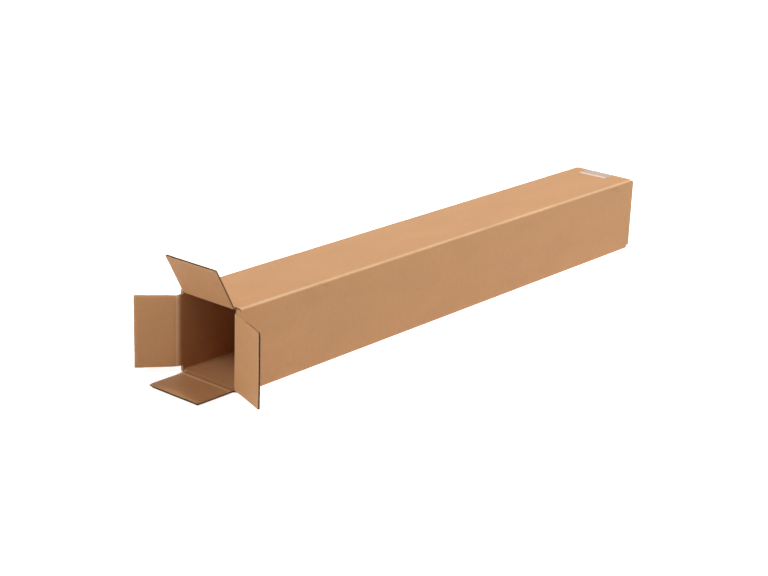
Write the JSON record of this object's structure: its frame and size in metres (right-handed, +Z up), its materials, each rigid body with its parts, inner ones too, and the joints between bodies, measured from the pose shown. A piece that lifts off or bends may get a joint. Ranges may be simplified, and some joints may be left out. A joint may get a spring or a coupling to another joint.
{
  "type": "long shipping carton",
  "caption": "Long, nearly square corrugated shipping carton on its side, one end open with hinged flaps spread, the other end folded shut and taped.",
  "frame": {"origin": "middle of the underside that the carton lies on", "axes": "+Y along the carton from the open end to the closed end, +Z up, +X to the right when looking in at the open end"},
  "size_m": [0.2101, 0.9738, 0.1725],
  "materials": {
    "kraft_board": "matt brown kraft liner",
    "clear_tape": "clear glossy film"
  },
  "bodies": {
    "carton": {"carton": "kraft_board", "closing_tape": "clear_tape"},
    "flap_top": {"flap_top": "kraft_board"},
    "flap_bottom": {"flap_bottom": "kraft_board"},
    "flap_left": {"flap_left": "kraft_board"},
    "flap_right": {"flap_right": "kraft_board"}
  },
  "joints": [
    {"name": "flap_top_fold", "type": "hinge", "parent": "carton", "child": "flap_top", "pos_m": [0, -0.4527, 0.116], "axis": [-1, 0, 0], "range_deg": [-152, 88]},
    {"name": "flap_bottom_fold", "type": "hinge", "parent": "carton", "child": "flap_bottom", "pos_m": [0, -0.4527, 0], "axis": [1, 0, 0], "range_deg": [-95, 150]},
    {"name": "flap_left_fold", "type": "hinge", "parent": "carton", "child": "flap_left", "pos_m": [-0.055, -0.457, 0.058], "axis": [0, 0, -1], "range_deg": [-134, 106]},
    {"name": "flap_right_fold", "type": "hinge", "parent": "carton", "child": "flap_right", "pos_m": [0.055, -0.457, 0.058], "axis": [0, 0, 1], "range_deg": [-158, 77]}
  ]
}
